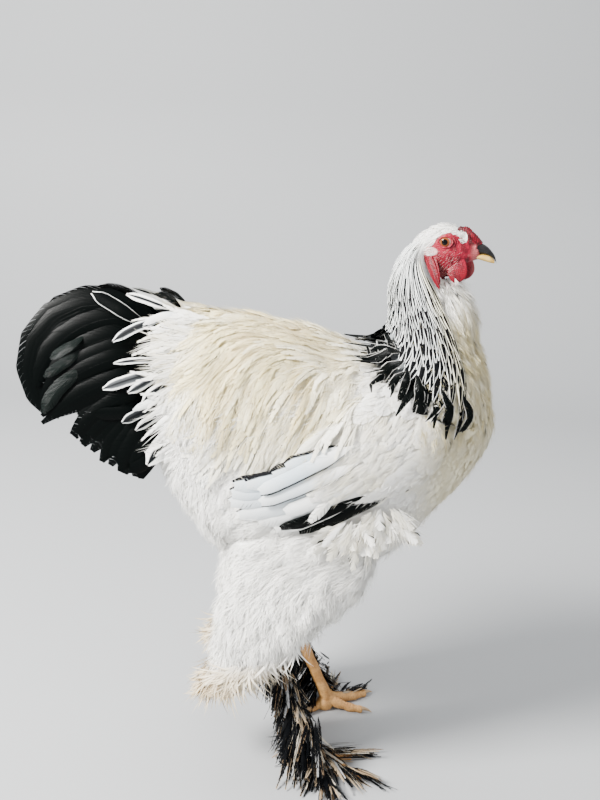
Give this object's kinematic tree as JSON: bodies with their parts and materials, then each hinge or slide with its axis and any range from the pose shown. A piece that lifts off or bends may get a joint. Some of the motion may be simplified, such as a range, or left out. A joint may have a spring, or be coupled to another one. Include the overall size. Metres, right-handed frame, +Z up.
{
  "type": "brahma chicken",
  "caption": "Life-size standing brahma cockerel as a still display model, with full white plumage, striped hackle, arched black tail and feathered feet.",
  "frame": {"origin": "on the floor, under the middle of the bird's bounding box", "axes": "+X the way the bird faces, +Y its left side, +Z up"},
  "size_m": [0.5812, 0.3125, 0.7002],
  "materials": {
    "eye": "wet gloss, orange-brown with a black pupil",
    "dark_horn": "satin near-black horn",
    "horn": "satin pale yellow horn",
    "red_skin": "fine-grained satin red skin",
    "plumage": "matt, soft white to cream feathers",
    "wing": "matt, white feathers",
    "black_feather": "slightly glossy black feathers with a green sheen",
    "hackle": "matt, white feathers striped with black",
    "leg_feather": "matt, black and tan stiff feathers",
    "scale": "satin orange-yellow scaled skin"
  },
  "bodies": {
    "root": {"eye_left": "eye", "eye_right": "eye", "upper_beak": "dark_horn", "lower_beak": "horn", "head": "red_skin", "comb": "red_skin", "wattle_left": "red_skin", "earlobe_left": "red_skin", "wattle_right": "red_skin", "earlobe_right": "red_skin", "torso": "plumage", "primaries_left": "black_feather", "wing_left": "wing", "primaries_right": "black_feather", "wing_right": "wing", "neck": "hackle", "cape_left": "black_feather", "cape_right": "black_feather", "tail": "black_feather", "thigh_left": "plumage", "shank_left": "leg_feather", "foot_left": "scale", "claw_middle_left": "horn", "claw_outer_left": "horn", "claw_inner_left": "horn", "claw_hind_left": "horn", "thigh_right": "plumage", "shank_right": "leg_feather", "foot_right": "scale", "claw_middle_right": "horn", "claw_outer_right": "horn", "claw_inner_right": "horn", "claw_hind_right": "horn"}
  },
  "joints": []
}
